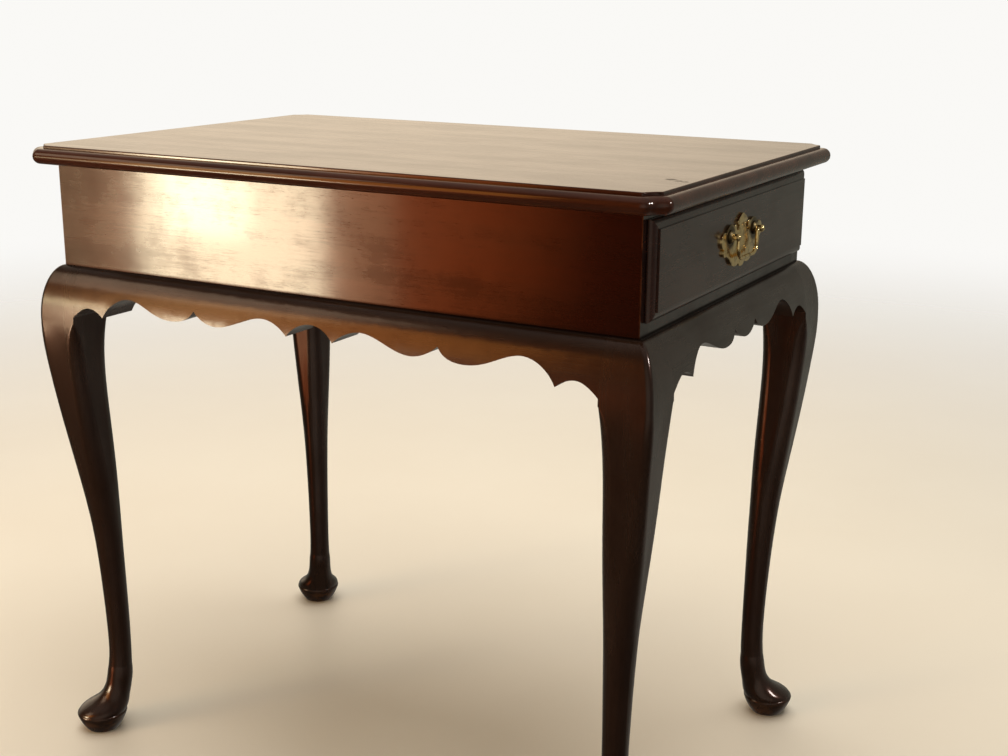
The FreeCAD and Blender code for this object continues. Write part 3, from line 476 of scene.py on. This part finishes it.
# Floor, a plain pale sheet that fades into the room all round. It catches the table's soft
# shadow, and the polish doesn't mirror it.
FLOOR_HALF_SIZE, FLOOR_FADE_START, FLOOR_FADE_END = 30.0, 0.7, 3.6
FLOOR_DARK, FLOOR_LIGHT, FLOOR_ROUGHNESS = (0.86, 0.775, 0.64, 1.0), (0.92, 0.85, 0.72, 1.0), 0.45
sheet = bmesh.new()
bmesh.ops.create_grid(sheet, x_segments=4, y_segments=4, size=FLOOR_HALF_SIZE)
floor_mesh = bpy.data.meshes.new("floor")
sheet.to_mesh(floor_mesh)
sheet.free()
floor = bpy.data.objects.new("floor", floor_mesh)
bpy.context.scene.collection.objects.link(floor)
pale_floor, tree, shader, place = new_material("pale_floor")
patches = cloud(tree, place, (3.0,) * 3, detail=4.0)
tree.links.new(mixed(tree, patches, FLOOR_DARK, FLOOR_LIGHT), shader.inputs["Base Color"])
shader.inputs["Roughness"].default_value = FLOOR_ROUGHNESS
from_table = add(tree, "ShaderNodeVectorMath", {0: place}, operation="LENGTH").outputs["Value"]
faded = between(tree, from_table, FLOOR_FADE_START, FLOOR_FADE_END)
clear = add(tree, "ShaderNodeBsdfTransparent").outputs[0]
surface = add(tree, "ShaderNodeMixShader", {0: faded, 1: shader.outputs[0], 2: clear}).outputs[0]
tree.links.new(surface, tree.nodes["Material Output"].inputs["Surface"])
floor_mesh.materials.append(pale_floor)
floor.visible_glossy = False


# Lamps, soft rectangles of light. The long side's polish mirrors those at the left as a bright
# patch and a golden sheen, and three of them are kept off the two far legs. A small lamp at
# the right makes the glints, and a wide one overhead lights everything evenly.
def soft_light(name, position, target, size, radiance, colour):
    """Rectangular lamp of a given brightness of its face, aimed at a point."""
    width, height = size
    lamp = bpy.data.lights.new(name, "AREA")
    lamp.shape = "RECTANGLE"
    lamp.size, lamp.size_y = width, height
    lamp.energy = radiance * math.pi * width * height
    lamp.color = colour
    thing = bpy.data.objects.new(name, lamp)
    thing.location = position
    thing.rotation_mode = "QUATERNION"
    thing.rotation_quaternion = (Vector(target) - Vector(position)).to_track_quat("-Z", "Y")
    bpy.context.scene.collection.objects.link(thing)
    return thing


FACING_BACK = Vector((0.0, 1.0, 0.0))
UPRIGHT_LAMPS = {
    "window": ((-2.03, -2.5, 0.21), (0.72, 0.78), 17.5, (1.0, 0.9, 0.62)),
    "bright_pane": ((-2.09, -2.47, 0.3), (0.34, 0.42), 11.0, (1.0, 0.98, 0.72)),
    "window_halo": ((-2.15, -2.54, 0.21), (1.4, 0.9), 1.25, (1.0, 0.95, 0.55)),
    "beside_window": ((-2.9, -2.45, 0.56), (0.9, 0.3), 7.0, (1.0, 0.88, 0.5)),
    "golden_glow": ((-2.115, -2.5, 1.2), (0.67, 1.15), 3.9, (1.0, 0.53, 0.18)),
    "ember_glow": ((-1.365, -2.5, 1.2), (0.83, 1.15), 2.4, (1.0, 0.36, 0.06)),
}
upright = {
    name: soft_light(name, position, Vector(position) + FACING_BACK, size, radiance, colour)
    for name, (position, size, radiance, colour) in UPRIGHT_LAMPS.items()
}
soft_light("warm_wall", (-2.3, -2.1, 2.0), (-0.1, 0.0, 0.55), (1.3, 1.2), 1.8, (1.0, 0.8, 0.56))
glint = soft_light("glint", (2.37, 0.32, 1.81), (0.34, -0.2, 0.62), (0.3, 0.3), 75.0, (1.0, 0.97, 0.92))
glint.visible_diffuse = False
overhead = soft_light("overhead", (0.0, 0.3, 2.9), (0.0, 0.3, 0.0), (3.2, 3.2), 2.7, (1.0, 0.96, 0.9))
overhead.visible_glossy = False
shaded_legs = bpy.data.collections.new("shaded_legs")
for corner in ("drawer_far", "blind_far"):
    shaded_legs.objects.link(nodes[f"leg_{corner}"])
for leg in shaded_legs.collection_objects:
    leg.light_linking.link_state = "EXCLUDE"
for name in ("window", "golden_glow", "ember_glow"):
    upright[name].light_linking.receiver_collection = shaded_legs

# Room, a pale surround for the eye. What the polish mirrors is darker, with a bright wall at the
# back left, a greyer one at the front right and a warm corner at the front left.
SEEN_ROOM = (0.955, 0.945, 0.92, 1.0)
TO_BACK, DARK_ROOM, SHADED_WALL = (0.0, 1.0, 0.0), (0.032, 0.024, 0.016, 1.0), (0.18, 0.178, 0.145, 1.0)
TO_RIGHT, LIT_SIDE = (1.0, 0.0, 0.0), (0.16, 0.155, 0.14, 1.0)
TO_LEFT_BACK, BRIGHT_WALL = (-0.75, 0.66, 0.0), (0.97, 0.8, 0.59, 1.0)
TO_FRONT_RIGHT, PALE_WALL = (0.45, -0.89, 0.0), (0.42, 0.4, 0.34, 1.0)
TO_WARM_CORNER, WARM_CORNER = (-0.58, -0.8, -0.15), (2.2, 0.42, 0.09, 1.0)
CEILING = (0.3, 0.29, 0.27, 1.0)
UNDERFOOT, LIT_FLOOR = (0.05, 0.045, 0.038, 1.0), (0.2, 0.185, 0.155, 1.0)
world = bpy.data.worlds.new("pale_room")
world.use_nodes = True
tree = world.node_tree
ray = add(tree, "ShaderNodeTexCoord").outputs["Generated"]
up = height_of(tree, ray)


def towards(direction, start, end):
    """How nearly a ray of the room points one way, from 0 at one cosine to 1 at another."""
    into = {0: ray, 1: direction}
    cosine = add(tree, "ShaderNodeVectorMath", into, operation="DOT_PRODUCT").outputs["Value"]
    return between(tree, cosine, start, end)


room = mixed(tree, towards(TO_BACK, -0.3, 0.3), DARK_ROOM, SHADED_WALL)
room = mixed(tree, towards(TO_RIGHT, 0.45, 0.95), room, LIT_SIDE)
above_floor = between(tree, up, -0.1, 0.06)
sunlit = reckon(tree, "MULTIPLY", towards(TO_LEFT_BACK, 0.6, 1.0), above_floor)
room = mixed(tree, sunlit, room, BRIGHT_WALL)
room = mixed(tree, towards(TO_FRONT_RIGHT, 0.66, 0.97), room, PALE_WALL)
room = mixed(tree, towards(TO_WARM_CORNER, 0.98, 0.999), room, WARM_CORNER)
room = mixed(tree, between(tree, up, 0.5, 0.95), room, CEILING)
underfoot = mixed(tree, towards(TO_BACK, 0.2, 0.75), UNDERFOOT, LIT_FLOOR)
room = mixed(tree, between(tree, up, -0.2, -0.5), room, underfoot)
seen = add(tree, "ShaderNodeLightPath").outputs["Is Camera Ray"]
tree.links.new(mixed(tree, seen, room, SEEN_ROOM), tree.nodes["Background"].inputs["Color"])
bpy.context.scene.world = world
bpy.context.scene.view_settings.view_transform = "Standard"

# Camera, where the photograph was taken from, above the near drawer-end corner. Its place, its
# turn and its lens are those that fit the straight edges of the table.
CAMERA_PLACE = (0.79, -1.28257, 0.81646)
HEADING, PITCH, ROLL = math.radians(28.898), math.radians(15.176), math.radians(0.401)
lens = bpy.data.cameras.new("camera")
lens.sensor_width, lens.lens = 36.0, 51.18
lens.clip_end = 200.0
camera = bpy.data.objects.new("camera", lens)
bpy.context.scene.collection.objects.link(camera)
tilt = Matrix.Rotation(math.pi / 2 - PITCH, 4, "X") @ Matrix.Rotation(ROLL, 4, "Z")
turn = Matrix.Rotation(HEADING, 4, "Z") @ tilt
camera.matrix_world = Matrix.Translation(CAMERA_PLACE) @ turn
bpy.context.scene.camera = camera
